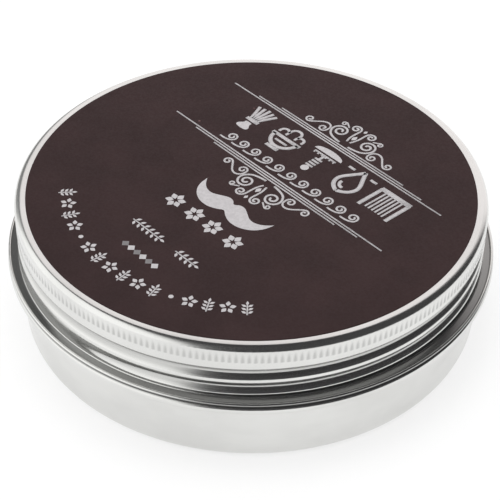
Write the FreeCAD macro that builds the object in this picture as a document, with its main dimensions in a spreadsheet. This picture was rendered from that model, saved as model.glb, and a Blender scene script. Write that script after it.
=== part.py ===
import FreeCAD, Part
import math
import os
import re

import Sketcher

# A puck of shaving soap in a round aluminium tin with a screw lid.
# Millimetres, +Z up. The origin is the centre of the tin's underside.

DIMENSIONS = [
    ("sheet", 0.4, "thickness of the drawn aluminium sheet"),
    ("label_radius", 37.7, "printed label on the lid"),
    ("label_thick", 0.12, "thickness of the label"),
    ("lid_top", 23.98, "height of the lid's panel above the table"),
    ("lid_radius", 39.6, "outside of the lid's skirt"),
    ("shoulder_round", 1.1, "outer round between the panel and the skirt"),
    ("curl_radius", 0.45, "section radius of the lid's curled edge"),
    ("curl_centre", 40.93, "distance of the curled edge's section from the axis"),
    ("curl_height", 13.92, "height of the curled edge's section"),
    ("flare_round", 0.5, "outer round where sheet turns outwards"),
    ("wall_radius", 39.38, "outside of the tin's wall"),
    ("corner_round", 2.0, "outer round between the tin's floor and its wall"),
    ("bead_radius", 0.8, "section radius of the bead round the tin"),
    ("bead_centre", 40.7, "distance of the bead's section from the axis"),
    ("bead_height", 12.61, "height of the bead's section"),
    ("neck_radius", 38.35, "outside of the tin's neck between its threads"),
    ("rim_top", 22.55, "height of the neck's rolled rim"),
    ("thread_lead", 2.9, "rise of the thread in one turn"),
    ("lid_groove_depth", 0.6, "depth of the groove rolled into the skirt"),
    ("lid_groove_round", 1.13, "section radius of that groove"),
    ("lid_thread_turns", 1.5, "length of the lid's thread in turns"),
    ("lid_thread_start", 15.35, "height of the lower end of the lid's thread"),
    ("lid_thread_from", -140.0, "direction of the lower end of the lid's thread, in degrees"),
    ("neck_ridge_rise", 0.55, "height of the thread that stands out of the neck"),
    ("neck_ridge_round", 0.8, "section radius of that thread"),
    ("neck_thread_turns", 1.5, "length of the neck's thread in turns"),
    ("neck_thread_back", 0.25, "turns by which the neck's thread starts before the lid's"),
    ("soap_radius", 37.2, "soap puck"),
    ("soap_thick", 20.3, "thickness of the soap puck"),
    ("soap_round", 1.5, "round along both edges of the puck"),
    ("liner_radius", 38.4, "foam liner inside the lid"),
    ("liner_thick", 0.9, "thickness of the liner"),
    ("liner_gap", 0.05, "gap between the liner and the lid's panel"),
]

WORKED_OUT = [
    ("lid_bore", "lid_radius - sheet", "inside of the lid's skirt"),
    ("wall_bore", "wall_radius - sheet", "inside of the tin's wall"),
    ("neck_bore", "neck_radius - sheet", "inside of the tin's neck"),
    ("bead_over", "bead_height + bead_radius", "top of the bead"),
    ("bead_under", "bead_height - bead_radius", "underside of the bead"),
    ("lid_ridge_round", "lid_groove_round + sheet", "section radius of the ridge behind the lid's groove"),
    ("neck_groove_round", "neck_ridge_round - sheet", "section radius of the groove inside the neck"),
    ("lid_groove_centre",
     "lid_radius - lid_groove_depth + lid_groove_round",
     "centre of the lid groove's section"),
    ("neck_ridge_centre",
     "neck_radius + neck_ridge_rise - neck_ridge_round",
     "centre of the neck thread's section"),
    ("neck_thread_start",
     "lid_thread_start + thread_lead * (0.5 - neck_thread_back)",
     "neck thread's lower end"),
    ("neck_thread_from", "lid_thread_from - 360 * neck_thread_back", "its direction, in degrees"),
]

LINE = None
LEFT = 1
RIGHT = -1


def make_sheet(doc):
    """Writes the driving dimensions, then the ones worked out from them, with an alias for each."""
    sheet = doc.addObject("Spreadsheet::Sheet", "Dimensions")
    rows = [(name, str(value), note) for name, value, note in DIMENSIONS]
    rows += [(name, "=" + formula, note) for name, formula, note in WORKED_OUT]
    for row, (name, content, note) in enumerate(rows, start=1):
        sheet.set(f"A{row}", name)
        sheet.set(f"B{row}", content)
        sheet.set(f"C{row}", note)
        sheet.setAlias(f"B{row}", name)
    doc.recompute()
    return sheet


def evaluate(sheet, formula):
    """The present value of a formula in the sheet's aliases."""
    return float(sheet.evalExpression(formula))


def bind(item, setting, formula):
    """Binds a property to a formula, each word of which is one of the sheet's aliases."""
    item.setExpression(setting, re.sub(r"\b([a-z_]+)\b(?!\()", r"Dimensions.\1", formula))


def origin_feature(body, role):
    """Finds one of the body's own origin planes or axes."""
    return next(item for item in body.Origin.OriginFeatures if item.Role == role)


def new_body(doc, label):
    body = doc.addObject("PartDesign::Body", label)
    body.Label = label
    return body


def new_sketch(body, name, role):
    sketch = body.newObject("Sketcher::SketchObject", name)
    sketch.AttachmentSupport = (origin_feature(body, role), [""])
    sketch.MapMode = "FlatFace"
    return sketch


def arc_centre(start, end, radius, side):
    """Centre of the arc of this radius that lies on the given side of the line from start to end."""
    middle = (start + end) * 0.5
    chord = end - start
    reach = math.sqrt(max(radius**2 - (chord.Length / 2) ** 2, 0.0))
    across = FreeCAD.Vector(-chord.y, chord.x, 0).normalize()
    return middle + across * reach * side


def make_edge(start, end, radius, side):
    if side == LINE:
        return Part.LineSegment(start, end)
    centre = arc_centre(start, end, radius, side)
    up = FreeCAD.Vector(0, 0, 1)
    first = math.atan2(start.y - centre.y, start.x - centre.x)
    last = math.atan2(end.y - centre.y, end.x - centre.x)
    if side == LEFT:
        return Part.ArcOfCircle(Part.Circle(centre, up, radius), first, last)
    return Part.ArcOfCircle(Part.Circle(centre, up, radius), last, first)


def draw_outline(sheet, sketch, corners):
    """Draws a closed outline in the plane of the axis.

    Each corner is (distance from the axis, height) as formulas, and may go on with the radius and the
    side of the centre of the arc that leads to the next corner. Every corner is tied to the sheet.
    """
    points = [FreeCAD.Vector(evaluate(sheet, c[0]), evaluate(sheet, c[1]), 0) for c in corners]
    spans = [(c[2], c[3]) if len(c) == 4 else ("0", LINE) for c in corners]
    begins = []
    for index, (radius, side) in enumerate(spans):
        start = points[index]
        end = points[(index + 1) % len(points)]
        sketch.addGeometry(make_edge(start, end, evaluate(sheet, radius), side), False)
        begins.append(2 if side == RIGHT else 1)
    for index, begin in enumerate(begins):
        after = (index + 1) % len(begins)
        sketch.addConstraint(Sketcher.Constraint("Coincident", index, 3 - begin, after, begins[after]))
    for index, corner in enumerate(corners):
        place = (("DistanceX", points[index].x, corner[0]), ("DistanceY", points[index].y, corner[1]))
        for kind, value, formula in place:
            number = sketch.addConstraint(Sketcher.Constraint(kind, -1, 1, index, begins[index], value))
            bind(sketch, f"Constraints[{number}]", formula)
        if len(corner) == 4:
            size = evaluate(sheet, corner[2])
            number = sketch.addConstraint(Sketcher.Constraint("Radius", index, size))
            bind(sketch, f"Constraints[{number}]", corner[2])


def revolve(sheet, body, name, corners):
    """Turns an outline once round the axis."""
    sketch = new_sketch(body, name + "Outline", "XZ_Plane")
    draw_outline(sheet, sketch, corners)
    turned = body.newObject("PartDesign::Revolution", name)
    turned.Profile = sketch
    turned.ReferenceAxis = (origin_feature(body, "Z_Axis"), [""])
    turned.Angle = 360
    return turned


def wind(sheet, body, kind, name, corners, turns):
    """Winds an outline round the axis along the thread, to add metal or to take it away."""
    sketch = new_sketch(body, name + "Outline", "XZ_Plane")
    draw_outline(sheet, sketch, corners)
    wound = body.newObject(kind, name)
    wound.Profile = sketch
    wound.ReferenceAxis = (origin_feature(body, "Z_Axis"), [""])
    wound.Mode = "pitch-turns-angle"
    bind(wound, "Pitch", "thread_lead")
    bind(wound, "Turns", turns)
    wound.LeftHanded = False
    wound.Reversed = False
    return wound


def bulge(edge, centre, radius, middle, side):
    """Outline of a thread's section: a round bulge closed by an upright line at the distance edge.

    The half width comes from the round, so both ends of the line stay on it when a size changes.
    """
    half = f"sqrt(({radius}) ^ 2 - ({edge} - ({centre})) ^ 2)"
    low = (edge, f"{middle} - {half}", radius, side)
    high = (edge, f"{middle} + {half}")
    return [low, high]


def make_lid(doc, sheet):
    """Drawn lid: flat panel, round shoulder, skirt with a rolled right-hand thread, curled edge."""
    body = new_body(doc, "lid")
    revolve(sheet, body, "LidShell", [
        ("0", "lid_top"),
        ("lid_radius - shoulder_round", "lid_top", "shoulder_round", RIGHT),
        ("lid_radius", "lid_top - shoulder_round"),
        ("lid_radius", "curl_height + flare_round", "flare_round", LEFT),
        ("lid_radius + flare_round", "curl_height"),
        ("curl_centre - curl_radius", "curl_height", "curl_radius", RIGHT),
        ("curl_centre", "curl_height + curl_radius", "curl_radius", RIGHT),
        ("curl_centre + curl_radius", "curl_height", "curl_radius", RIGHT),
        ("curl_centre", "curl_height - curl_radius"),
        ("lid_radius + flare_round", "curl_height - sheet", "flare_round + sheet", RIGHT),
        ("lid_bore", "curl_height + flare_round"),
        ("lid_bore", "lid_top - shoulder_round", "shoulder_round - sheet", LEFT),
        ("lid_radius - shoulder_round", "lid_top - sheet"),
        ("0", "lid_top - sheet"),
    ])
    place = ("lid_thread_start", RIGHT)
    ridge = bulge("lid_bore + sheet / 4", "lid_groove_centre", "lid_ridge_round", *place)
    wind(sheet, body, "PartDesign::AdditiveHelix", "LidThread", ridge, "lid_thread_turns")
    groove = bulge("lid_radius + sheet / 4", "lid_groove_centre", "lid_groove_round", *place)
    wind(sheet, body, "PartDesign::SubtractiveHelix", "LidGroove", groove, "lid_thread_turns")
    turn_to(body, sheet, "lid_thread_from")
    return body


def make_tin_base(doc, sheet):
    """Drawn tin: floor, wall, hollow bead, neck with a rolled thread, rim rolled inwards."""
    body = new_body(doc, "tin_base")
    revolve(sheet, body, "TinShell", [
        ("0", "0"),
        ("wall_radius - corner_round", "0", "corner_round", LEFT),
        ("wall_radius", "corner_round"),
        ("wall_radius", "bead_under - flare_round", "flare_round", RIGHT),
        ("wall_radius + flare_round", "bead_under"),
        ("bead_centre", "bead_under", "bead_radius", LEFT),
        ("bead_centre + bead_radius", "bead_height", "bead_radius", LEFT),
        ("bead_centre", "bead_over"),
        ("neck_radius + flare_round", "bead_over", "flare_round", RIGHT),
        ("neck_radius", "bead_over + flare_round"),
        ("neck_radius", "rim_top - sheet", "sheet", LEFT),
        ("neck_bore", "rim_top", "sheet", LEFT),
        ("neck_bore - sheet", "rim_top - sheet", "sheet", LEFT),
        ("neck_bore", "rim_top - 2 * sheet"),
        ("neck_bore", "bead_over + flare_round", "flare_round + sheet", LEFT),
        ("neck_radius + flare_round", "bead_over - sheet"),
        ("bead_centre", "bead_over - sheet", "bead_radius - sheet", RIGHT),
        ("bead_centre + bead_radius - sheet", "bead_height", "bead_radius - sheet", RIGHT),
        ("bead_centre", "bead_under + sheet"),
        ("wall_radius + flare_round", "bead_under + sheet", "flare_round + sheet", LEFT),
        ("wall_bore", "bead_under - flare_round"),
        ("wall_bore", "corner_round", "corner_round - sheet", RIGHT),
        ("wall_radius - corner_round", "sheet"),
        ("0", "sheet"),
    ])
    place = ("neck_thread_start", LEFT)
    ridge = bulge("neck_radius - sheet / 4", "neck_ridge_centre", "neck_ridge_round", *place)
    wind(sheet, body, "PartDesign::AdditiveHelix", "NeckThread", ridge, "neck_thread_turns")
    groove = bulge("neck_bore - sheet / 4", "neck_ridge_centre", "neck_groove_round", *place)
    wind(sheet, body, "PartDesign::SubtractiveHelix", "NeckGroove", groove, "neck_thread_turns")
    turn_to(body, sheet, "neck_thread_from")
    return body


def turn_to(body, sheet, direction):
    """Turns a body about the axis, so that its thread begins in the given direction."""
    body.Placement = FreeCAD.Placement(
        FreeCAD.Vector(), FreeCAD.Rotation(FreeCAD.Vector(0, 0, 1), evaluate(sheet, direction))
    )


def make_disc(doc, sheet, label, radius, thickness, height):
    """Plain round sheet lying at the given height."""
    body = new_body(doc, label)
    sketch = new_sketch(body, label + "_circle", "XY_Plane")
    circle = Part.Circle(FreeCAD.Vector(), FreeCAD.Vector(0, 0, 1), evaluate(sheet, radius))
    sketch.addGeometry(circle, False)
    sketch.addConstraint(Sketcher.Constraint("Coincident", 0, 3, -1, 1))
    number = sketch.addConstraint(Sketcher.Constraint("Radius", 0, evaluate(sheet, radius)))
    bind(sketch, f"Constraints[{number}]", radius)
    pad = body.newObject("PartDesign::Pad", label + "_pad")
    pad.Profile = sketch
    bind(pad, "Length", thickness)
    body.Placement.Base = FreeCAD.Vector(0, 0, evaluate(sheet, height))
    return body


def make_soap(doc, sheet):
    """Pressed puck with both edges rounded, lying on the floor of the tin."""
    body = make_disc(doc, sheet, "soap_puck", "soap_radius", "soap_thick", "sheet")
    doc.recompute()
    pad = body.Tip
    edges = [f"Edge{n}" for n, edge in enumerate(pad.Shape.Edges, 1) if len(edge.Vertexes) == 1]
    round_edges = body.newObject("PartDesign::Fillet", "soap_edges")
    round_edges.Base = (pad, edges)
    bind(round_edges, "Radius", "soap_round")
    return body


def check(doc, bodies):
    """Stops if a feature failed or a sub-part is empty, broken or more than one solid."""
    for item in doc.Objects:
        if {"Invalid", "Error"} & set(item.State):
            raise RuntimeError(f"{item.Label} failed: {item.State}")
    for body in bodies:
        if body.Shape.isNull() or not body.Shape.isValid():
            raise RuntimeError(f"{body.Label} has no valid shape")
        if len(body.Shape.Solids) != 1:
            raise RuntimeError(f"{body.Label} has {len(body.Shape.Solids)} solids")


def main():
    doc = FreeCAD.newDocument("ShavingSoap")
    sheet = make_sheet(doc)
    bodies = [
        make_tin_base(doc, sheet),
        make_soap(doc, sheet),
        make_lid(doc, sheet),
        make_disc(doc, sheet, "lid_liner", "liner_radius", "liner_thick",
                  "lid_top - sheet - liner_gap - liner_thick"),
        make_disc(doc, sheet, "lid_label", "label_radius", "label_thick", "lid_top"),
    ]
    doc.recompute()
    check(doc, bodies)
    os.makedirs("parts", exist_ok=True)
    for body in bodies:
        body.Shape.exportStep(f"parts/{body.Label}.step")
        print(body.Label, round(body.Shape.Volume, 1), "mm3", body.Shape.BoundBox)


main()
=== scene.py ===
import math

import bpy
from bpy.props import FloatProperty, FloatVectorProperty, IntProperty, PointerProperty
from mathutils import Matrix, Vector


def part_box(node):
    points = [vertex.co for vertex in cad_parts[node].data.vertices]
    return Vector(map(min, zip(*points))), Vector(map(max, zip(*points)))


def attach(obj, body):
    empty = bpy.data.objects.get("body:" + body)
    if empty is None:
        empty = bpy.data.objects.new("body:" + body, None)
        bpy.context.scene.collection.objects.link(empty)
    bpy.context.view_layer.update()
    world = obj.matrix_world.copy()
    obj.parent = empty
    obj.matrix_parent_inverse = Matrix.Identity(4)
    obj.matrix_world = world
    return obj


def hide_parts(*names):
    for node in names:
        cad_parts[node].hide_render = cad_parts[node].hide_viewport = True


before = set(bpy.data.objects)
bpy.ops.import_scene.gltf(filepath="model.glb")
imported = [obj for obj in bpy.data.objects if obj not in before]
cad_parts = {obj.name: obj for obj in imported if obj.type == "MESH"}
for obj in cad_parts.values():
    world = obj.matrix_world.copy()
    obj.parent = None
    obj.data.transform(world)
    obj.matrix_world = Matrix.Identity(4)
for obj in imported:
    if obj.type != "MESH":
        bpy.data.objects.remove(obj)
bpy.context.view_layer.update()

bl_info = {
    "name": "Shaving Soap Tin",
    "version": (1, 0, 0),
    "blender": (4, 5, 0),
    "location": "3D View > Sidebar > Soap Tin",
    "description": "Models a screw tin of shaving soap around its CAD frame",
    "category": "Add Mesh",
}

MM = 0.001
TIN_LOW, TIN_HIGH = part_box("tin_base")
LID_LOW, LID_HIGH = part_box("lid")
SOAP_LOW, SOAP_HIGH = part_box("soap_puck")
LABEL_LOW, LABEL_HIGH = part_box("lid_label")

# Points closer than this are merged
MERGE_DISTANCE = 0.002 * MM
# How far a point of a wall may stand from its radius
WALL_TOLERANCE = 0.05 * MM
SMOOTH_ANGLE = math.radians(40)
# A turned piece is spun as a wedge and doubled this many times
DOUBLINGS = 4

# Steps round each turned piece; the lid has this many for each flute
TIN_STEPS = 656
SOAP_STEPS = 192
LABEL_STEPS = 352
STEPS_PER_FLUTE = 4

# Weights of the painted shadow in a crevice seam and on the ledge above the curl, where the metal is painted
# darker in place of shade
CREVICE_SHADOW = 2.0
LEDGE_SHADOW = 1.6

# What the metal mirrors
BACK_WALL = (1.15, 1.105, 1.105)
GREY_SCREEN = (0.26, 0.26, 0.26)
DARK_ROOM = (0.035, 0.034, 0.036)
SOFT_BOX = (1.25, 1.25, 1.24)

# Name, azimuth, height, size and power of each lamp, and how far off they all stand
LAMPS = (("key", -150, 55, 0.9, 1.6), ("top", 90, 75, 0.9, 1.6), ("right", 15, 50, 0.8, 0.8))
LAMP_DISTANCE = 1.1
FLOOR_RADIUS = 6.0


# ---- settings


class MetalSettings(bpy.types.PropertyGroup):
    """Sheet metal of the tin and its lid."""

    sheet: FloatProperty(
        name="Sheet", description="Thickness of the drawn sheet", default=0.4 * MM, subtype="DISTANCE"
    )
    flare: FloatProperty(
        name="Flare", description="Outer round where the sheet turns outwards",
        default=0.5 * MM, subtype="DISTANCE"
    )
    tone: FloatVectorProperty(
        name="Tone", description="Colour of the bare aluminium",
        default=(0.71, 0.71, 0.695), size=3, subtype="COLOR"
    )
    roughness: FloatProperty(
        name="Roughness", description="Blur of the reflections",
        default=0.2, min=0.0, max=1.0, subtype="FACTOR"
    )


class ThreadSettings(bpy.types.PropertyGroup):
    """The right-hand screw thread that joins lid and tin."""

    lead: FloatProperty(
        name="Lead", description="Rise of the thread in one turn", default=2.9 * MM, subtype="DISTANCE"
    )
    turns: FloatProperty(name="Turns", description="Length of the thread in turns", default=1.5)
    lid_start: FloatProperty(
        name="Lid start", description="Height of the lower end in the lid",
        default=15.35 * MM, subtype="DISTANCE"
    )
    lid_from: FloatProperty(
        name="Lid direction", description="Direction of that end", default=math.radians(-140), subtype="ANGLE"
    )
    lid_depth: FloatProperty(
        name="Lid depth", description="Depth of the groove in the skirt",
        default=0.76 * MM, subtype="DISTANCE"
    )
    neck_depth: FloatProperty(
        name="Neck depth", description="Height of the thread on the neck",
        default=0.55 * MM, subtype="DISTANCE"
    )
    neck_back: FloatProperty(
        name="Neck lead-in", description="Turns by which the neck's thread starts earlier", default=0.25
    )
    lid_half: FloatProperty(
        name="Lid half width", description="Half width of the groove in the skirt",
        default=1.15 * MM, subtype="DISTANCE"
    )
    neck_half: FloatProperty(
        name="Neck half width", description="Half width of the neck's thread",
        default=0.85 * MM, subtype="DISTANCE"
    )


class LidSettings(bpy.types.PropertyGroup):
    """The knurled lid."""

    radius: FloatProperty(
        name="Radius", description="Outside of the skirt", default=39.6 * MM, subtype="DISTANCE"
    )
    shoulder: FloatProperty(
        name="Shoulder", description="Round between panel and skirt", default=1.1 * MM, subtype="DISTANCE"
    )
    curl: FloatProperty(
        name="Curl", description="Section radius of the curled edge", default=0.3 * MM, subtype="DISTANCE"
    )
    curl_centre: FloatProperty(
        name="Curl centre", description="Distance of the curl from the axis",
        default=41.08 * MM, subtype="DISTANCE"
    )
    flare: FloatProperty(
        name="Flare", description="Outer round where the skirt turns outwards",
        default=0.22 * MM, subtype="DISTANCE"
    )
    flutes: IntProperty(name="Flutes", description="Flutes of the knurl", default=252)
    flute_depth: FloatProperty(
        name="Flute depth", description="Depth of each flute", default=0.12 * MM, subtype="DISTANCE"
    )
    knurl_top: FloatProperty(
        name="Knurl top", description="Upper end of the knurl below the panel",
        default=0.35 * MM, subtype="DISTANCE"
    )
    knurl_low: FloatProperty(
        name="Knurl low", description="Lower end of the knurl below the panel",
        default=3.0 * MM, subtype="DISTANCE"
    )


class TinSettings(bpy.types.PropertyGroup):
    """The tin itself."""

    wall: FloatProperty(
        name="Wall", description="Outside radius of the wall", default=39.38 * MM, subtype="DISTANCE"
    )
    corner: FloatProperty(
        name="Corner", description="Round between floor and wall", default=2.0 * MM, subtype="DISTANCE"
    )
    bead: FloatProperty(
        name="Bead", description="Section radius of the bead", default=0.8 * MM, subtype="DISTANCE"
    )
    bead_height: FloatProperty(
        name="Bead height", description="Height of the bead", default=12.61 * MM, subtype="DISTANCE"
    )
    neck: FloatProperty(
        name="Neck", description="Outside radius of the neck", default=38.35 * MM, subtype="DISTANCE"
    )


class SoapSettings(bpy.types.PropertyGroup):
    """The puck."""

    tone: FloatVectorProperty(
        name="Tone", description="Colour of the soap", default=(0.86, 0.80, 0.66), size=3, subtype="COLOR"
    )
    edge: FloatProperty(
        name="Edge", description="Round along the edges", default=1.5 * MM, subtype="DISTANCE"
    )
    dish: FloatProperty(
        name="Dish", description="Hollow in the middle of the top", default=0.35 * MM, subtype="DISTANCE"
    )


class LabelSettings(bpy.types.PropertyGroup):
    """The printed label."""

    paper: FloatVectorProperty(
        name="Paper", description="Brown of the label",
        default=(0.033, 0.0168, 0.0172), size=3, subtype="COLOR"
    )
    ink: FloatVectorProperty(
        name="Ink", description="Silver grey of the print",
        default=(0.52, 0.50, 0.51), size=3, subtype="COLOR"
    )
    dim_ink: FloatVectorProperty(
        name="Dim ink", description="Darker grey of the print",
        default=(0.20, 0.19, 0.195), size=3, subtype="COLOR"
    )
    ink_height: FloatProperty(
        name="Ink height", description="Height of the print above the paper",
        default=0.02 * MM, subtype="DISTANCE"
    )
    turn: FloatProperty(
        name="Turn", description="Direction of the print on the lid",
        default=math.radians(-48), subtype="ANGLE"
    )
    middle: FloatProperty(
        name="Middle", description="Sideways place of the print's centre line",
        default=1.7 * MM, subtype="DISTANCE"
    )


class StageSettings(bpy.types.PropertyGroup):
    """Camera, floor and light."""

    camera_place: FloatVectorProperty(
        name="Camera place", description="Where the camera stands",
        default=(0.0, -200.2 * MM, 177.9 * MM), size=3, subtype="XYZ"
    )
    camera_aim: FloatVectorProperty(
        name="Camera aim", description="Point in the middle of the view",
        default=(-0.14 * MM, 0.0, 9.93 * MM), size=3, subtype="XYZ"
    )
    camera_roll: FloatProperty(
        name="Camera roll", description="Lean of the camera", default=math.radians(0.77), subtype="ANGLE"
    )
    lens: FloatProperty(name="Lens", description="Focal length in millimetres", default=108.4)
    floor_tone: FloatVectorProperty(
        name="Floor", description="Colour of the floor", default=(0.4, 0.4, 0.4), size=3, subtype="COLOR"
    )
    floor_glow: FloatProperty(
        name="Floor glow", description="Light of the light table", default=0.6
    )


SETTINGS = (
    ("tin_metal", MetalSettings),
    ("tin_thread", ThreadSettings),
    ("tin_lid", LidSettings),
    ("tin_base", TinSettings),
    ("tin_soap", SoapSettings),
    ("tin_label", LabelSettings),
    ("tin_stage", StageSettings),
)


# ---- modelling


def arc(centre, radius, start, end, steps):
    """Points of an arc in the section plane, from one direction to another in degrees."""
    points = []
    for step in range(steps + 1):
        turn = math.radians(start + (end - start) * step / steps)
        points.append((centre[0] + radius * math.cos(turn), centre[1] + radius * math.sin(turn)))
    return points


def rows(distance, start, end, count):
    """Evenly spaced points up or down a straight wall, both ends included."""
    return [(distance, start + (end - start) * step / count) for step in range(count + 1)]


def without_repeats(points):
    """The same points without those that repeat the one before."""
    kept = [points[0]]
    for point in points[1:]:
        if math.dist(point, kept[-1]) > MERGE_DISTANCE:
            kept.append(point)
    return kept


def begin_piece(name):
    """Starts a mesh as a single vertex at the origin and stays in edit mode."""
    bpy.ops.object.select_all(action="DESELECT")
    bpy.ops.mesh.primitive_plane_add(size=MM)
    piece = bpy.context.object
    piece.name = name
    piece.data.name = name
    bpy.ops.object.mode_set(mode="EDIT")
    bpy.ops.mesh.select_all(action="SELECT")
    bpy.ops.mesh.merge(type="CENTER")
    return piece


def close_seams():
    """Merges doubled points, turns every face outwards and leaves edit mode."""
    bpy.ops.mesh.select_all(action="SELECT")
    bpy.ops.mesh.remove_doubles(threshold=MERGE_DISTANCE)
    bpy.ops.mesh.normals_make_consistent(inside=False)
    bpy.ops.object.mode_set(mode="OBJECT")


def turned_piece(name, outline, steps):
    """Draws half a section by extruding a vertex along it, spins a wedge and doubles it to a full turn."""
    piece = begin_piece(name)
    points = without_repeats(outline)
    bpy.ops.transform.translate(value=(points[0][0], 0, points[0][1]))
    for before, after in zip(points, points[1:]):
        move = (after[0] - before[0], 0, after[1] - before[1])
        bpy.ops.mesh.extrude_region_move(TRANSFORM_OT_translate={"value": move})
    wedge = math.tau / 2**DOUBLINGS
    bpy.ops.mesh.select_all(action="SELECT")
    bpy.ops.mesh.spin(steps=steps // 2**DOUBLINGS, angle=wedge, center=(0, 0, 0), axis=(0, 0, 1))
    for doubling in range(DOUBLINGS):
        bpy.ops.mesh.select_all(action="SELECT")
        bpy.ops.mesh.duplicate()
        turn = wedge * 2**doubling
        bpy.ops.transform.rotate(value=turn, orient_axis="Z", center_override=(0, 0, 0))
    close_seams()
    return piece


def apply_modifier(piece, kind, **settings):
    """Adds a modifier with these settings and applies it."""
    bpy.ops.object.modifier_add(type=kind)
    modifier = piece.modifiers[-1]
    for key, value in settings.items():
        setattr(modifier, key, value)
    bpy.ops.object.modifier_apply(modifier=modifier.name)


def displace(piece, *moves):
    """Moves the skin along its normals; each move has a name, a strength and a weight by place.

    The greatest weight at each point is kept as an attribute from which the metal paints shade into grooves
    and flutes.
    A move of no strength only marks a painted crevice shadow: its weights go up to the crevice-shadow weight,
    painted darker still.
    """
    deepest = [0.0] * len(piece.data.vertices)
    for name, _, weight_at in moves:
        group = piece.vertex_groups.new(name=name)
        for vertex in piece.data.vertices:
            weight = weight_at(vertex.co)
            if weight > 0:
                group.add([vertex.index], min(weight, 1.0), "REPLACE")
                deepest[vertex.index] = max(deepest[vertex.index], weight)
    recess_shade = piece.data.attributes.new("recess_shade", "FLOAT", "POINT")
    recess_shade.data.foreach_set("value", deepest)
    for name, strength, _ in moves:
        if strength != 0:
            apply_modifier(piece, "DISPLACE", strength=strength, mid_level=0.0, vertex_group=name)
    piece.vertex_groups.clear()


def smooth(piece):
    """Shades the piece smooth except along its sharp edges."""
    bpy.ops.object.shade_smooth_by_angle(angle=SMOOTH_ANGLE)
    apply_modifier(piece, "WEIGHTED_NORMAL", keep_sharp=True)


def ease(value):
    """Smooth step from 0 to 1."""
    value = min(max(value, 0.0), 1.0)
    return value * value * (3 - 2 * value)


def on_wall(place, radius):
    """Whether a place is on the round wall of this radius."""
    return abs(math.hypot(place.x, place.y) - radius) <= WALL_TOLERANCE


def thread_height(place, thread, start, direction, half):
    """How far the thread stands at a place, from 0 to 1, fading out over its two ends."""
    run_out = 0.09
    around = (math.atan2(place.y, place.x) - direction) / math.tau
    best = 0.0
    for turn in range(-2, 4):
        along = around + turn
        if not 0 <= along <= thread.turns:
            continue
        away = abs(place.z - start - along * thread.lead) / half
        if away >= 1:
            continue
        fade = ease(along / run_out) * ease((thread.turns - along) / run_out)
        best = max(best, fade * math.cos(away * math.pi / 2) ** 1.3)
    return best


def finish_piece(piece, material, body, slot, *nodes):
    """Gives the piece its material and its place in the frame."""
    piece.data.materials.clear()
    piece.data.materials.append(material)
    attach(piece, body)
    if nodes:
        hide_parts(*nodes)


# ---- materials


def new_node(tree, kind, **settings):
    """Adds a node with the given properties to a tree."""
    node = tree.nodes.new(kind)
    for key, value in settings.items():
        setattr(node, key, value)
    return node


def mixed(tree, factor, first, second):
    """Mixes two colours, each a plain one or an earlier mix."""
    mix = new_node(tree, "ShaderNodeMix", data_type="RGBA")
    tree.links.new(factor, mix.inputs[0])
    for socket, colour in ((mix.inputs[6], first), (mix.inputs[7], second)):
        if isinstance(colour, tuple):
            socket.default_value = (*colour, 1)
        else:
            tree.links.new(colour, socket)
    return mix.outputs[2]


class Nodes:
    """A material's node tree, with short calls to add nodes and join them."""

    def __init__(self, name):
        self.material = bpy.data.materials.new(name)
        self.material.use_nodes = True
        self.tree = self.material.node_tree
        self.tree.nodes.clear()
        self.shader = self.add("ShaderNodeBsdfPrincipled")
        output = self.add("ShaderNodeOutputMaterial")
        self.join(self.shader, "BSDF", output, "Surface")
        self.place = self.add("ShaderNodeTexCoord")

    def add(self, kind, **settings):
        return new_node(self.tree, kind, **settings)

    def join(self, source, output, target, socket):
        """Links an output of one node to an input of another."""
        self.tree.links.new(source.outputs[output], target.inputs[socket])

    def set(self, **values):
        """Sets the shader's own sockets."""
        for key, value in values.items():
            self.shader.inputs[key.replace("_", " ")].default_value = value

    def stretched(self, scale):
        """Object coordinates stretched by a scale along each axis."""
        mapping = self.add("ShaderNodeMapping")
        mapping.inputs["Scale"].default_value = scale
        self.join(self.place, "Object", mapping, "Vector")
        return mapping

    def calculate(self, operation, *terms):
        """Node maths on numbers and (node, output) pairs."""
        result = self.add("ShaderNodeMath", operation=operation)
        for socket, term in enumerate(terms):
            if isinstance(term, tuple):
                self.join(*term, result, socket)
            else:
                result.inputs[socket].default_value = term
        return result

    def noise(self, scale, size=1.0, detail=3.0, roughness=0.55):
        """Noise whose grain is stretched by the given scale."""
        noise = self.add("ShaderNodeTexNoise")
        noise.inputs["Scale"].default_value = size
        noise.inputs["Detail"].default_value = detail
        noise.inputs["Roughness"].default_value = roughness
        self.join(self.stretched(scale), "Vector", noise, "Vector")
        return noise

    def remap(self, source, output, low, high, to_low=0.0, to_high=1.0):
        """Maps one range of a value onto another, smoothly."""
        span = self.add("ShaderNodeMapRange", interpolation_type="SMOOTHSTEP")
        for key, value in (("From Min", low), ("From Max", high), ("To Min", to_low), ("To Max", to_high)):
            span.inputs[key].default_value = value
        self.join(source, output, span, "Value")
        return span

    def blend(self, factor, under, colour):
        """Lays a colour over a plain one or a mix, by a factor node's result."""
        return mixed(self.tree, factor.outputs[0], under, colour)

    def colour(self, mix):
        """Uses a mix as the shader's colour."""
        self.tree.links.new(mix, self.shader.inputs["Base Color"])

    def bump(self, source, output, distance, strength=1.0, under=None):
        """Raises the skin by a texture, over an earlier bump if one is given."""
        bump = self.add("ShaderNodeBump")
        bump.inputs["Distance"].default_value = distance
        bump.inputs["Strength"].default_value = strength
        self.join(source, output, bump, "Height")
        if under:
            self.join(under, "Normal", bump, "Normal")
        self.join(bump, "Normal", self.shader, "Normal")
        return bump


def scaled(colour, factor):
    """The colour made lighter or darker by a factor."""
    return tuple(min(channel * factor, 1.0) for channel in colour)


# How fine the rings in the metal are
RING_SCALE = 5200.0


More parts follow.
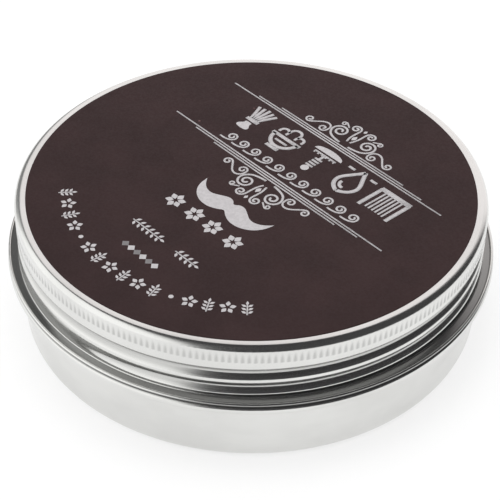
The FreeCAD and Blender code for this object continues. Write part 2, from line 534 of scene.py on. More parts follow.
def turned_metal(name, tone, roughness, seed):
    """Satin aluminium with fine rings left by turning, soft clouding, faint handling marks and painted shade
    in its hollows.
    """
    skin = Nodes(name)
    skin.set(Metallic=1.0, Anisotropic=0.35)
    tangent = skin.add("ShaderNodeTangent", direction_type="RADIAL", axis="Z")
    skin.join(tangent, "Tangent", skin.shader, "Tangent")
    parts = skin.add("ShaderNodeSeparateXYZ")
    skin.join(skin.place, "Object", parts, "Vector")
    squares = [skin.calculate("MULTIPLY", (parts, axis), (parts, axis)) for axis in "XY"]
    total = skin.calculate("ADD", (squares[0], 0), (squares[1], 0))
    radius = skin.calculate("SQRT", (total, 0))
    rings_at = skin.calculate("MULTIPLY_ADD", (radius, 0), RING_SCALE, seed)
    rings = skin.add("ShaderNodeTexNoise", noise_dimensions="4D")
    rings.inputs["Scale"].default_value = 1.0
    rings.inputs["Detail"].default_value = 2.0
    skin.join(skin.stretched((22, 22, RING_SCALE)), "Vector", rings, "Vector")
    skin.join(rings_at, 0, rings, "W")
    clouds = skin.noise((60, 60, 110), detail=4.0)
    clouding = skin.remap(clouds, "Fac", 0.3, 0.7)
    tones = skin.blend(clouding, scaled(tone, 0.95), scaled(tone, 1.04))
    marks = skin.noise((900, 900, 900), detail=6.0, roughness=0.7)
    dull = skin.remap(marks, "Fac", 0.66, 0.74, 0.0, 0.35)
    marked = skin.blend(dull, tones, scaled(tone, 0.72))
    # Painted shade: the metal is darker in grooves and flutes and much darker in crevices, in place of the
    # shade that falls there
    recess_shade = skin.add("ShaderNodeAttribute", attribute_name="recess_shade")
    painted_shade = skin.remap(recess_shade, "Fac", 0.0, 0.8)
    crevice_shadow = skin.remap(recess_shade, "Fac", 1.0, CREVICE_SHADOW)
    with_painted_shade = skin.blend(painted_shade, marked, scaled(tone, 0.72))
    skin.colour(skin.blend(crevice_shadow, with_painted_shade, scaled(tone, 0.2)))
    blur = skin.calculate("MULTIPLY_ADD", (rings, "Fac"), 0.14, roughness - 0.05)
    skin.join(blur, 0, skin.shader, "Roughness")
    fine = skin.bump(rings, "Fac", 0.0012 * MM, 0.6)
    skin.bump(clouds, "Fac", 0.02 * MM, 0.5, fine)
    return skin.material


def printed_paper(name, tone):
    """Matte brown print on paper: soft clouding, a fine tooth and a few pale specks."""
    skin = Nodes(name)
    skin.set(Specular_IOR_Level=0.15)
    clouds = skin.noise((90, 90, 90), detail=5.0, roughness=0.65)
    clouding = skin.remap(clouds, "Fac", 0.3, 0.7)
    tones = skin.blend(clouding, scaled(tone, 0.88), scaled(tone, 1.12))
    dust = skin.add("ShaderNodeTexVoronoi", feature="F1")
    dust.inputs["Scale"].default_value = 260.0
    skin.join(skin.place, "Object", dust, "Vector")
    picks = skin.noise((310, 310, 310), detail=1.0)
    sparse = skin.remap(picks, "Fac", 0.66, 0.70)
    near = skin.remap(dust, "Distance", 0.05, 0.10, 1.0, 0.0)
    specks = skin.calculate("MULTIPLY", (sparse, "Result"), (near, "Result"))
    skin.colour(skin.blend(specks, tones, scaled(tone, 6.0)))
    tooth = skin.noise((2600, 2600, 2600), detail=3.0)
    rough = skin.remap(tooth, "Fac", 0.3, 0.7, 0.5, 0.68)
    skin.join(rough, "Result", skin.shader, "Roughness")
    skin.bump(tooth, "Fac", 0.006 * MM, 0.5)
    return skin.material


def silver_ink(name, tone):
    """Silver-grey ink with a slightly broken surface."""
    skin = Nodes(name)
    skin.set(Metallic=0.25)
    grain = skin.noise((1800, 1800, 1800), detail=4.0, roughness=0.7)
    broken = skin.remap(grain, "Fac", 0.25, 0.75)
    skin.colour(skin.blend(broken, scaled(tone, 0.86), scaled(tone, 1.1)))
    rough = skin.remap(grain, "Fac", 0.2, 0.8, 0.38, 0.58)
    skin.join(rough, "Result", skin.shader, "Roughness")
    skin.bump(grain, "Fac", 0.004 * MM, 0.5)
    return skin.material


def pressed_soap(name, tone):
    """Milled soap: waxy, a little translucent, with soft clouding, fine pits and pressing marks."""
    skin = Nodes(name)
    skin.set(Subsurface_Weight=0.35, Subsurface_Scale=0.0022, Specular_IOR_Level=0.45)
    skin.set(Subsurface_Radius=(1.0, 0.75, 0.45))
    clouds = skin.noise((45, 45, 80), detail=6.0, roughness=0.6)
    clouding = skin.remap(clouds, "Fac", 0.3, 0.7)
    tones = skin.blend(clouding, scaled(tone, 0.93), scaled(tone, 1.07))
    flecks = skin.noise((700, 700, 700), detail=3.0, roughness=0.7)
    pale = skin.remap(flecks, "Fac", 0.62, 0.72, 0.0, 0.5)
    skin.colour(skin.blend(pale, tones, scaled(tone, 1.25)))
    skin.join(skin.remap(clouds, "Fac", 0.3, 0.7, 0.34, 0.5), "Result", skin.shader, "Roughness")
    streaks = skin.noise((70, 900, 300), detail=4.0)
    first = skin.bump(streaks, "Fac", 0.05 * MM, 0.35)
    pits = skin.add("ShaderNodeTexVoronoi", feature="SMOOTH_F1")
    pits.inputs["Scale"].default_value = 900.0
    skin.join(skin.place, "Object", pits, "Vector")
    holes = skin.remap(pits, "Distance", 0.0, 0.25)
    skin.bump(holes, "Result", 0.04 * MM, 0.4, first)
    return skin.material


def closed_foam(name):
    """White closed-cell foam: small round cells and a soft sheen."""
    skin = Nodes(name)
    skin.set(Roughness=0.7, Subsurface_Weight=0.2, Subsurface_Scale=0.001)
    cells = skin.add("ShaderNodeTexVoronoi", feature="F1")
    cells.inputs["Scale"].default_value = 1400.0
    skin.join(skin.place, "Object", cells, "Vector")
    walls = skin.remap(cells, "Distance", 0.1, 0.7)
    skin.colour(skin.blend(walls, (0.90, 0.90, 0.89), (0.80, 0.80, 0.79)))
    clouds = skin.noise((120, 120, 120))
    first = skin.bump(clouds, "Fac", 0.1 * MM, 0.4)
    skin.bump(cells, "Distance", 0.08 * MM, 0.7, first)
    return skin.material


# ---- pieces


def tin_outline(metal, tin):
    """Half section of the tin: floor, wall, hollow bead, neck and rolled rim, then back down inside."""
    thread_rows = 32
    floor_flat = tin.wall - tin.corner - 2 * MM
    sheet, flare = metal.sheet, metal.flare
    bead_middle = TIN_HIGH[0] - tin.bead
    over = tin.bead_height + tin.bead
    under = tin.bead_height - tin.bead
    rim = TIN_HIGH[2] - sheet
    corner = (tin.wall - tin.corner, tin.corner)
    lower = (tin.wall + flare, under - flare)
    upper = (tin.neck + flare, over + flare)
    bead = (bead_middle, tin.bead_height)
    points = [(0, 0), (floor_flat, 0)]
    points += arc(corner, tin.corner, -90, 0, 8)
    points += rows(tin.wall, tin.corner, lower[1], 3)
    points += arc(lower, flare, 180, 90, 4)
    points += arc(bead, tin.bead, -90, 90, 14)
    points += arc(upper, flare, 270, 180, 5)
    points += rows(tin.neck, upper[1], rim, thread_rows)
    points += arc((tin.neck - sheet, rim), sheet, 0, 270, 12)
    points += rows(tin.neck - sheet, rim - sheet, upper[1], thread_rows)
    points += arc(upper, flare + sheet, 180, 270, 6)
    points += arc(bead, tin.bead - sheet, 90, -90, 8)
    points += arc(lower, flare + sheet, 90, 180, 6)
    points += arc(corner, tin.corner - sheet, 0, -90, 6)
    points += [(floor_flat, sheet), (0, sheet)]
    return points


class TIN_OT_base(bpy.types.Operator):
    """Models the drawn tin with its bead, threaded neck and rolled rim"""

    bl_idname = "soaptin.base"
    bl_label = "Tin"

    def execute(self, context):
        scene = context.scene
        metal, tin, thread = scene.tin_metal, scene.tin_base, scene.tin_thread
        piece = turned_piece("tin_shell", tin_outline(metal, tin), TIN_STEPS)
        start = thread.lid_start + thread.lead * (0.5 - thread.neck_back)
        direction = thread.lid_from - math.tau * thread.neck_back
        bare_neck = tin.bead_height + tin.bead + metal.flare

        def on_neck(place, radius):
            if place.z < bare_neck or not on_wall(place, radius):
                return 0.0
            return thread_height(place, thread, start, direction, thread.neck_half)

        # Where a shadow is painted on the bead's top, in the crevice under the lid's curl
        def crevice_shadow_at(place):
            if math.hypot(place.x, place.y) < tin.neck + metal.sheet:
                return 0.0
            up = (place.z - tin.bead_height) / tin.bead
            return CREVICE_SHADOW * ease((up - 0.6) / 0.3) if place.z < bare_neck else 0.0

        displace(
            piece,
            ("crevice_shadow", 0.0, crevice_shadow_at),
            ("thread", thread.neck_depth, lambda place: on_neck(place, tin.neck)),
            ("thread_back", -thread.neck_depth, lambda place: on_neck(place, tin.neck - metal.sheet)),
        )
        smooth(piece)
        material = turned_metal("tin_aluminium", metal.tone, metal.roughness, 3.0)
        finish_piece(piece, material, "tin", "tin_metal", "tin_base")
        return {"FINISHED"}


def lid_outline(metal, lid):
    """Half section of the lid: panel, shoulder, knurl, thread, flare and curl, then back up inside."""
    sheet, flare = metal.sheet, lid.flare
    top = LID_HIGH[2]
    curl = (lid.curl_centre, LID_LOW[2] + lid.curl)
    lift = 0.05 * MM
    turn_in = LID_LOW[2] + lift + sheet + flare
    bore = lid.radius - sheet
    shoulder = (lid.radius - lid.shoulder, top - lid.shoulder)
    knurl_end = top - lid.knurl_low
    ledge = 0.2 * MM
    thread_top = 20.6 * MM
    points = [(0, top), (LABEL_HIGH[0] - 0.2 * MM, top)]
    points += arc(shoulder, lid.shoulder, 90, 0, 9)
    points += rows(lid.radius, shoulder[1] - 0.3 * MM, knurl_end + ledge, 3)
    points += [(lid.radius, knurl_end)]
    points += rows(lid.radius, thread_top, turn_in, 34)
    points += arc((lid.radius + flare, turn_in), flare, 180, 270, 4)
    points += arc(curl, lid.curl, 180, -90, 14)
    points += arc((lid.radius + flare, turn_in), flare + sheet, 270, 180, 5)
    points += rows(bore, turn_in, thread_top + 0.5 * MM, 16)
    points += arc(shoulder, lid.shoulder - sheet, 0, 90, 4)
    points += [(0, top - sheet)]
    return points


class TIN_OT_lid(bpy.types.Operator):
    """Models the lid with its knurled skirt, rolled thread and curled edge"""

    bl_idname = "soaptin.lid"
    bl_label = "Lid"

    def execute(self, context):
        scene = context.scene
        metal, lid, thread = scene.tin_metal, scene.tin_lid, scene.tin_thread
        steps = lid.flutes * STEPS_PER_FLUTE
        piece = turned_piece("lid_shell", lid_outline(metal, lid), steps)
        top = LID_HIGH[2]
        skirt_low = LID_LOW[2] + metal.sheet + lid.flare
        middle = lid.radius - metal.sheet / 2
        knurl_from = top - lid.knurl_low + 0.07 * MM
        knurl_to = top - lid.knurl_top
        fade = 2.5 * MM
        pitch = math.tau / steps
        cut = (1.0, 0.45, 0.0, 0.45)

        def flute(place):
            on_band = knurl_from < place.z < knurl_to and math.hypot(place.x, place.y) > middle
            column = round(math.atan2(place.y, place.x) / pitch) % STEPS_PER_FLUTE
            return cut[column] * ease((knurl_to - place.z) / fade) if on_band else 0.0

        def on_skirt(place, radius):
            if not (skirt_low < place.z < knurl_from and on_wall(place, radius)):
                return 0.0
            return thread_height(place, thread, thread.lid_start, thread.lid_from, thread.lid_half)

        # Where a shadow is painted on the lower side of the curl and on the ledge above it, in the crevice
        # over the tin's bead
        def crevice_shadow_at(place):
            reach = math.hypot(place.x, place.y)
            if reach > lid.curl_centre - lid.curl / 2:
                up = (place.z - LID_LOW[2]) / lid.curl
                return CREVICE_SHADOW * ease((1.6 - up) / 0.6)
            return LEDGE_SHADOW if reach > lid.radius + lid.flare / 2 else 0.0

        displace(
            piece,
            ("crevice_shadow", 0.0, crevice_shadow_at),
            ("thread", -thread.lid_depth, lambda place: on_skirt(place, lid.radius)),
            ("thread_back", thread.lid_depth, lambda place: on_skirt(place, lid.radius - metal.sheet)),
            ("knurl", -lid.flute_depth, flute),
        )
        smooth(piece)
        material = turned_metal("lid_aluminium", metal.tone, metal.roughness, 11.0)
        finish_piece(piece, material, "lid", "lid_metal", "lid")
        return {"FINISHED"}


class TIN_OT_soap(bpy.types.Operator):
    """Models the pressed puck of soap"""

    bl_idname = "soaptin.soap"
    bl_label = "Soap puck"

    def execute(self, context):
        soap = context.scene.tin_soap
        radius, low, high = SOAP_HIGH[0], SOAP_LOW[2], SOAP_HIGH[2]
        edge = soap.edge
        flat = radius - edge
        outline = [(0, high - soap.dish)]
        for step in range(1, 13):
            part = step / 12
            outline.append((flat * part, high - soap.dish * (1 - ease((part - 0.55) / 0.4))))
        outline += arc((flat, high - edge), edge, 90, 0, 7)
        outline += rows(radius, high - edge, low + edge, 6)
        outline += arc((flat, low + edge), edge, 0, -90, 7)
        outline += [(0, low)]
        piece = turned_piece("soap_body", outline, SOAP_STEPS)
        smooth(piece)
        finish_piece(piece, pressed_soap("shaving_soap", soap.tone), "tin", "soap", "soap_puck")
        return {"FINISHED"}


class TIN_OT_liner(bpy.types.Operator):
    """Gives the foam liner its finish"""

    bl_idname = "soaptin.liner"
    bl_label = "Foam liner"

    def execute(self, context):
        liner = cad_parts["lid_liner"]
        foam = closed_foam("liner_foam")
        for slot in liner.material_slots:
            slot.material = foam
        return {"FINISHED"}


class TIN_OT_label(bpy.types.Operator):
    """Models the round label on the lid"""

    bl_idname = "soaptin.label"
    bl_label = "Label"

    def execute(self, context):
        label = context.scene.tin_label
        radius, low = LABEL_HIGH[0], LABEL_LOW[2]
        high = LABEL_HIGH[2] - label.ink_height
        soft = 0.05 * MM
        outline = [(0, high), (radius - 1 * MM, high)]
        outline += arc((radius - soft, high - soft), soft, 90, 0, 4)
        outline += [(radius, low), (0, low)]
        piece = turned_piece("label_disc", outline, LABEL_STEPS)
        smooth(piece)
        finish_piece(piece, printed_paper("brown_label", label.paper), "lid", "label", "lid_label")
        return {"FINISHED"}


# ---- print on the label
# Places on the label are in millimetres: u along the print's lines, v across them.

# Arc of small marks: radius, direction of the first slot, degrees for each slot, and what slots hold
ARC_RADIUS = 30.7
ARC_START = -127.2
ARC_SLOT = 5.63
ARC_DOTS = (4, 11)
ARC_TWIGS = (0, 2, 6, 8, 10, 13, 15)
ARC_FLOWERS = (1, 3, 5, 7, 9, 12, 14)

# Line, pitch and scale of the pictures
PICTURE_LINE = 13.3
PICTURE_PITCH = 8.05
PICTURE_SCALE = (0.98, 0.98)

# The flowers' line and their places along it
FLOWER_LINE = -12.2
FLOWERS = (-6.9, -2.0, 2.5, 7.5)

# Line, start and length of the two twigs below the flowers
TWIG_LINE = -20.5
SMALL_TWIGS = ((-7.6, 6.9), (3.2, 4.6))

# Row of small diamonds: its line, start and pitch, and one's half diagonal and outline
DIAMOND_LINE = -25.3
DIAMOND_START = -3.5
DIAMOND_PITCH = 1.48
DIAMOND = 0.75
SQUARE = ((-DIAMOND, 0), (0, DIAMOND), (DIAMOND, 0), (0, -DIAMOND))


def coil(centre, outer, inner, start, sweep):
    """Points of a scroll's curl, from its outer end inwards."""
    count = max(8, int(abs(sweep) / 30))
    points = []
    for step in range(count + 1):
        part = step / count
        turn = math.radians(start + sweep * part)
        radius = outer + (inner - outer) * part
        points.append((centre[0] + radius * math.cos(turn), centre[1] + radius * math.sin(turn)))
    return points


def ring(centre, radius, start=0, sweep=360):
    """Points of a circle or a part of one."""
    return coil(centre, radius, radius, start, sweep)


def placed(points, u, v, scale=(1, 1), turn=0.0):
    """The same points scaled, turned and moved to a place on the label."""
    cos, sin = math.cos(turn), math.sin(turn)
    result = []
    for x, y in points:
        x, y = x * scale[0], y * scale[1]
        result.append((u + x * cos - y * sin, v + x * sin + y * cos))
    return result


def scrollwork():
    """Lines of one half of the scroll ornament above a rule: (points, width)."""
    vine = coil((9.55, 1.6), 0.9, 0.2, 235, 430)[::-1]
    vine += [(8.0, 1.9), (7.2, 2.8), (6.1, 3.15), (5.1, 2.5)] + coil((6.0, 1.35), 0.95, 0.2, 185, 430)
    great = [(1.0, 0.45), (2.4, 0.55), (3.8, 0.95)] + coil((3.3, 2.95), 1.75, 0.3, -50, 600)
    crown = [(0.35, 1.6), (0.75, 2.6), (0.8, 3.8), (0.75, 4.8)] + coil((1.8, 5.45), 1.05, 0.2, 175, -500)
    tendril = [(2.9, 4.75), (3.6, 5.2)] + coil((4.35, 5.05), 0.6, 0.18, 150, -430)
    return [(vine, 0.36), (great, 0.42), (crown, 0.38), (tendril, 0.3)]


def brush():
    """A shaving brush standing on its handle: (lines, filled outlines)."""
    lines = []
    for lean in (-2, -1, 0, 1, 2):
        hair = [(lean * 0.42, -0.3), (lean * 0.8, 1.8), (lean * 1.15, 3.7 - abs(lean) * 0.25)]
        lines.append((hair, 0.62))
    lines.append(([(-1.5, -0.75), (1.5, -0.75)], 0.8))
    half = [(0.9, -1.5), (0.6, -2.1), (1.5, -3.0), (1.2, -3.8)]
    return lines, [half + [(-u, v) for u, v in reversed(half)]]


def bowl():
    """A bowl with lather above its edge."""
    edge, body, foot = [(-3.5, 0), (3.5, 0)], ring((0, 0), 2.9, 180, 180), [(-1.5, -3.5), (1.5, -3.5)]
    lines = [(edge, 0.75), (body, 0.75), (foot, 0.75)]
    for centre, radius in (((-1.9, 1.3), 0.95), ((0.1, 2.2), 1.2), ((2.0, 1.3), 0.9)):
        lines.append((ring(centre, radius, -30, 240), 0.55))
    lines.append(([(-1.5, -1.3), (1.5, -1.3)], 0.5))
    return lines, []


def razor():
    """A safety razor with a domed head, a comb below it and a ribbed handle."""
    lines = [([(-2.6, 1.75), (2.6, 1.75)], 0.4), ([(0, 1.75), (0, 0.3)], 0.55)]
    for tooth in range(6):
        reach = -2.35 + tooth * 0.94
        lines.append(([(reach, 1.75), (reach, 1.2)], 0.34))
    for height in (0.1, -0.65, -1.4, -2.15):
        lines.append(([(-0.85, height), (0.85, height)], 0.46))
    head = [(-3.3, 2.35), (-3.3, 2.35), (-2.9, 3.3), (0, 3.85), (2.9, 3.3), (3.3, 2.35), (3.3, 2.35)]
    return lines, [head, ring((0, -3.2), 0.8)[:-1]]


def water_drop():
    """A hollow drop with a glint and a short dash on each side."""
    side = [(0, 3.7), (0.9, 2.0), (2.2, 0.2), (2.5, -1.4), (1.5, -3.1), (0, -3.6)]
    lines = [(side, 0.75), (placed(side, 0, 0, (-1, 1)), 0.75), (ring((0, -1.2), 1.15, 170, 110), 0.6)]
    for out in (-1, 1):
        lines.append(([(out * 3.4, 2.9), (out * 1.9, 2.9)], 0.55))
    return lines, []


def comb():
    """A comb with its teeth down."""
    lines = [([(-3.4, 2.7), (3.4, 2.7)], 1.0)]
    for out in (-1, 1):
        lines.append(([(out * 3.15, 2.7), (out * 3.15, -3.3)], 0.75))
    for tooth in range(6):
        reach = -1.9 + tooth * 0.76
        lines.append(([(reach, 2.7), (reach, -2.9)], 0.38))
    return lines, []


PICTURES = (brush, bowl, razor, water_drop, comb)


def in_line(points, place, middle):
    """Points of a picture moved to its place in the line of pictures."""
    return placed(points, middle + 0.4 + PICTURE_PITCH * (place - 2), PICTURE_LINE, PICTURE_SCALE)


def leaf(length, width):
    """Outline of a pointed leaf from the origin upwards."""
    side = [(0, 0), (0, 0), (width / 2, length * 0.35), (width / 2, length * 0.6), (0, length), (0, length)]
    return side + [(-u, v) for u, v in reversed(side[2:4])]


def flower(petals, inner, length, width):
    """Outlines of a flower's petals round an open middle."""
    outlines = []
    for petal in range(petals):
        turn = math.tau * petal / petals
        middle = (-inner * math.sin(turn), inner * math.cos(turn))
        outlines.append(placed(leaf(length, width), *middle, turn=turn))
    return outlines


def twig(length, pairs, leaf_length, leaf_width):
    """Outlines of leaves in pairs along a stem from the origin upwards, and one at its tip."""
    outlines = [placed(leaf(leaf_length, leaf_width), 0, length)]
    for pair in range(pairs):
        for out in (-1, 1):
            height = 0.12 + length * (pair + 0.35) / pairs
            outlines.append(placed(leaf(leaf_length, leaf_width), out * 0.12, height, turn=-out * 1.0))
    return outlines


def moustache():
    """Outline of a curled moustache, round its middle."""
    top = [(0, 1.5), (0.8, 2.4), (2.0, 2.5), (3.4, 1.7), (4.9, 0.9), (6.5, 1.2), (7.7, 2.2)]
    low = [(8.1, 1.1), (6.9, -0.7), (4.9, -1.8), (2.7, -1.9), (0.9, -1.1), (0, -0.3)]
    half = top + [(8.4, 3.1), (8.4, 3.1), (8.4, 3.1)] + low
    return half + [(-u, v) for u, v in reversed(half[1:-1])]


def arc_turn(place):
    """Turn of a mark on the arc at the label's edge, so that its top looks inwards."""
    return math.radians(ARC_START + ARC_SLOT * place) + math.pi / 2


def arc_place(place, rise=0.0):
    """Place of a mark on the arc, or of a point above it."""
    around = arc_turn(place) - math.pi / 2
    return ((ARC_RADIUS - rise) * math.cos(around), (ARC_RADIUS - rise) * math.sin(around))


def print_lines(middle):
    """Every printed line: (points, width)."""
    lines = []
    for base, out in ((18.1, 1), (4.3, -1)):
        for row, (left, right) in enumerate(((-26.7, 24.6), (-20.7, 19.6), (-15.2, 14.9))):
            height = base + out * row * 0.55
            lines.append(([(middle + left, height), (middle + right, height)], 0.28))
        for points, width in scrollwork():
            for side in (-1, 1):
                lines.append((placed(points, middle, base + out * 1.2, (side, out)), width))
    for place, picture in enumerate(PICTURES):
        for points, width in picture()[0]:
            lines.append((in_line(points, place, middle), width))
    wave = [(-1.7, -1.15), (-0.6, -1.2), (0.5, -0.9)] + coil((0.1, 0.15), 1.05, 0.25, -35, 480)
    for unit in range(11):
        lines.append((placed(wave, middle + 0.5 + 3.0 * (unit - 5), 6.6), 0.36))
    for start, length in SMALL_TWIGS:
        lines.append(([(middle + start, TWIG_LINE), (middle + start + length, TWIG_LINE)], 0.24))
    for place in ARC_TWIGS:
        lines.append((placed([(0, -1.5), (0, 0.8)], *arc_place(place), turn=arc_turn(place)), 0.24))
    return lines


def print_shapes(middle):
    """Outlines of the filled marks in bright and in dim ink."""
    bright = [placed(moustache(), middle + 0.3, -7.4)]
    dim = []
    for place, picture in enumerate(PICTURES):
        for points in picture()[1]:
            bright.append(in_line(points, place, middle))
    for place in FLOWERS:
        for petal in flower(6, 0.35, 1.5, 1.05):
            bright.append(placed(petal, middle + place, FLOWER_LINE))
    for start, length in SMALL_TWIGS:
        for leaves in twig(length, round(length / 1.25), 1.05, 0.5):
            bright.append(placed(leaves, middle + start, TWIG_LINE, turn=-math.pi / 2))
    for place in ARC_TWIGS:
        for leaves in twig(2.2, 3, 0.95, 0.45):
            bright.append(placed(leaves, *arc_place(place, -1.5), turn=arc_turn(place)))
    for place in ARC_FLOWERS:
        for petal in flower(5, 0.3, 1.1, 0.75):
            bright.append(placed(petal, *arc_place(place), turn=arc_turn(place)))
    for place in ARC_DOTS:
        bright.append(ring(arc_place(place), 0.42)[:-1])
    for out, base in ((1, 19.3), (-1, 3.1)):
        bright.append(placed(leaf(1.5, 0.8), middle, base + out * 2.4, (1, out)))
        bright.append(placed(leaf(1.0, 0.6), middle, base + out * 5.4, (1, out)))
    for place in range(6):
        marks = bright if place % 2 else dim
        marks.append(placed(SQUARE, middle + DIAMOND_START + DIAMOND_PITCH * place, DIAMOND_LINE))
    return bright, dim


def begin_drawing(name):
    """Starts a curve object without lines."""
    bpy.ops.object.select_all(action="DESELECT")
    bpy.ops.curve.primitive_nurbs_path_add()
    drawing = bpy.context.object
    drawing.name = name
    drawing.data.splines.clear()
    return drawing


def drawn(name, outlines, flat):
    """A curve object with these outlines: open lines with a width each, or closed and filled."""
    drawing = begin_drawing(name)
    drawing.data.dimensions = "2D" if flat else "3D"
    for outline in outlines:
        points, width = (outline, 1.0) if flat else outline
        straight = len(points) < 3 or (flat and len(points) == 4)
        spline = drawing.data.splines.new("POLY" if straight else "NURBS")
        spline.points.add(len(points) - 1)
        for point, (u, v) in zip(spline.points, points):
            point.co = (u * MM, v * MM, 0, 1)
            point.radius = width
        spline.order_u = 3 if flat or len(points) < 6 else 4
        spline.use_cyclic_u = flat
        spline.use_endpoint_u = not flat
        spline.resolution_u = 4
    return drawing


def select_only(*pieces):
    """Selects these pieces and makes the first one active."""
    bpy.ops.object.select_all(action="DESELECT")
    for piece in pieces:
        piece.select_set(True)
    bpy.context.view_layer.objects.active = pieces[0]


def as_mesh(drawing, material):
    """Turns a drawn curve into a mesh with one material."""
    drawing.data.materials.clear()
    select_only(drawing)
    bpy.ops.object.convert(target="MESH")
    drawing.data.materials.clear()
    drawing.data.materials.append(material)


class TIN_OT_print(bpy.types.Operator):
    """Models the print on the label: rules, scrolls, pictures and a moustache"""

    bl_idname = "soaptin.print"
    bl_label = "Print"

    def execute(self, context):
        label = context.scene.tin_label
        middle = label.middle / MM
        bright_ink = silver_ink("silver_ink", label.ink)
        dim_ink = silver_ink("grey_ink", label.dim_ink)
        nib = begin_drawing("nib")
        section = nib.data.splines.new("POLY")
        section.points.add(3)
        half, rise = 0.5 * MM, label.ink_height
        corners = ((-half, -rise), (half, -rise), (half, rise), (-half, rise))
        for point, (across, up) in zip(section.points, corners):
            point.co = (across, up, 0, 1)
        section.use_cyclic_u = True
        lines = drawn("print_lines", print_lines(middle), False)
        lines.data.bevel_mode = "OBJECT"
        lines.data.bevel_object = nib
        lines.data.twist_mode = "Z_UP"
        lines.data.use_fill_caps = True
        as_mesh(lines, bright_ink)
        bright, dim = print_shapes(middle)
        marks = []
        for name, outlines, ink in (("print_marks", bright, bright_ink), ("print_dim_marks", dim, dim_ink)):
            shape = drawn(name, outlines, True)
            shape.data.fill_mode = "BOTH"
            shape.data.extrude = label.ink_height / 2
            as_mesh(shape, ink)
            marks.append(shape)
        bpy.data.objects.remove(nib)
        select_only(lines, *marks)
        bpy.ops.object.join()
        lines.name = "label_print"
        bpy.ops.object.mode_set(mode="EDIT")
        close_seams()
        lines.rotation_euler = (0, 0, label.turn)
        lines.location = (0, 0, LABEL_HIGH[2] - label.ink_height)
        bpy.ops.object.transform_apply(location=True, rotation=True, scale=True)
        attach(lines, "lid")
        return {"FINISHED"}


class TIN_OT_stage(bpy.types.Operator):
    """Sets up the floor, the light and the camera"""

    bl_idname = "soaptin.stage"
    bl_label = "Stage"

    def execute(self, context):
        scene = context.scene
        stage = scene.tin_stage
        add_floor(stage)
        add_sky(scene)
        add_lamps()
        add_camera(scene, stage)
        scene.view_settings.view_transform = "Standard"
        return {"FINISHED"}


def add_floor(stage):
    """A pale round floor that glows like a light table."""
    bpy.ops.object.select_all(action="DESELECT")
    under = (0, 0, TIN_LOW[2])
    bpy.ops.mesh.primitive_circle_add(vertices=96, radius=FLOOR_RADIUS, fill_type="NGON", location=under)
    floor = bpy.context.object
    floor.name = "floor"
    skin = Nodes("floor_card")
    skin.set(Roughness=0.9, Specular_IOR_Level=0.1, Emission_Strength=stage.floor_glow)
    skin.shader.inputs["Base Color"].default_value = (*stage.floor_tone, 1)
    skin.shader.inputs["Emission Color"].default_value = (1, 1, 1, 1)
    floor.data.materials.append(skin.material)


def add_sky(scene):
    """White surroundings, while metal mirrors a pale wall, a grey screen, a soft box and a dark room."""
    world = bpy.data.worlds.new("studio")
    scene.world = world
    world.use_nodes = True
    tree = world.node_tree
    tree.nodes.clear()

    def add(kind, **settings):
        return new_node(tree, kind, **settings)

    def step(axis, start, end):
        """From 0 to 1 along an axis of the view direction, softly."""
        span = add("ShaderNodeMapRange", interpolation_type="SMOOTHSTEP")
        span.inputs["From Min"].default_value = start
        span.inputs["From Max"].default_value = end
        link(parts.outputs[axis], span.inputs["Value"])
        return span.outputs["Result"]

    link = tree.links.new
    place = add("ShaderNodeTexCoord")
    parts = add("ShaderNodeSeparateXYZ")
    link(place.outputs["Generated"], parts.inputs["Vector"])
    back = mixed(tree, step("X", -0.20, -0.32), BACK_WALL, GREY_SCREEN)
    front = mixed(tree, step("X", -0.34, -0.46), DARK_ROOM, SOFT_BOX)
    surroundings = mixed(tree, step("Y", 0.66, 0.56), back, front)
    mirrored = add("ShaderNodeBackground")
    link(surroundings, mirrored.inputs["Color"])
    seen = add("ShaderNodeBackground")
    seen.inputs["Color"].default_value = (1, 1, 1, 1)
    ray = add("ShaderNodeLightPath")
    either = add("ShaderNodeMixShader")
    link(ray.outputs["Is Glossy Ray"], either.inputs[0])
    link(seen.outputs[0], either.inputs[1])
    link(mirrored.outputs[0], either.inputs[2])
    output = add("ShaderNodeOutputWorld")
    link(either.outputs[0], output.inputs["Surface"])


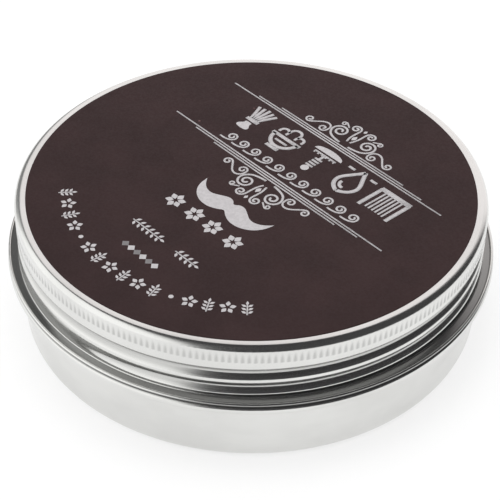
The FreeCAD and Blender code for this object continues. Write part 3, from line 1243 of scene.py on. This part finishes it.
def direction_of(azimuth, height):
    """Unit vector towards a compass angle and a height, both in degrees."""
    around, up = math.radians(azimuth), math.radians(height)
    return Vector((math.cos(around) * math.cos(up), math.sin(around) * math.cos(up), math.sin(up)))


def add_lamps():
    """Large soft lamps that light the scene without showing in the metal."""
    for name, azimuth, height, size, power in LAMPS:
        place = direction_of(azimuth, height) * LAMP_DISTANCE
        bpy.ops.object.light_add(type="AREA", location=place)
        lamp = bpy.context.object
        lamp.name = name
        lamp.data.size = size
        lamp.data.energy = power
        lamp.rotation_euler = place.to_track_quat("Z", "Y").to_euler()
        lamp.visible_glossy = False


def add_camera(scene, stage):
    """Puts up the camera."""
    place = Vector(stage.camera_place)
    aim = Vector(stage.camera_aim)
    bpy.ops.object.camera_add(location=place)
    camera = bpy.context.object
    look = (place - aim).to_track_quat("Z", "Y").to_matrix().to_4x4()
    lean = Matrix.Rotation(stage.camera_roll, 4, "Z")
    camera.matrix_world = Matrix.Translation(place) @ look @ lean
    camera.data.lens = stage.lens
    camera.data.sensor_width = 36.0
    camera.data.clip_start = 0.01
    scene.camera = camera


class TIN_PT_panel(bpy.types.Panel):
    """Lists the steps in the order they are run."""

    bl_label = "Soap Tin"
    bl_idname = "TIN_PT_panel"
    bl_space_type = "VIEW_3D"
    bl_region_type = "UI"
    bl_category = "Soap Tin"

    def draw(self, context):
        for step in STEPS:
            self.layout.operator(step.bl_idname)


STEPS = (TIN_OT_base, TIN_OT_soap, TIN_OT_lid, TIN_OT_liner, TIN_OT_label, TIN_OT_print, TIN_OT_stage)


def register():
    for name, group in SETTINGS:
        bpy.utils.register_class(group)
        setattr(bpy.types.Scene, name, PointerProperty(type=group))
    for step in STEPS:
        bpy.utils.register_class(step)
    bpy.utils.register_class(TIN_PT_panel)


def unregister():
    bpy.utils.unregister_class(TIN_PT_panel)
    for step in reversed(STEPS):
        bpy.utils.unregister_class(step)
    for name, group in reversed(SETTINGS):
        delattr(bpy.types.Scene, name)
        bpy.utils.unregister_class(group)


def main():
    register()
    for step in STEPS:
        area, name = step.bl_idname.split(".")
        getattr(getattr(bpy.ops, area), name)()


if __name__ == "__main__":
    main()
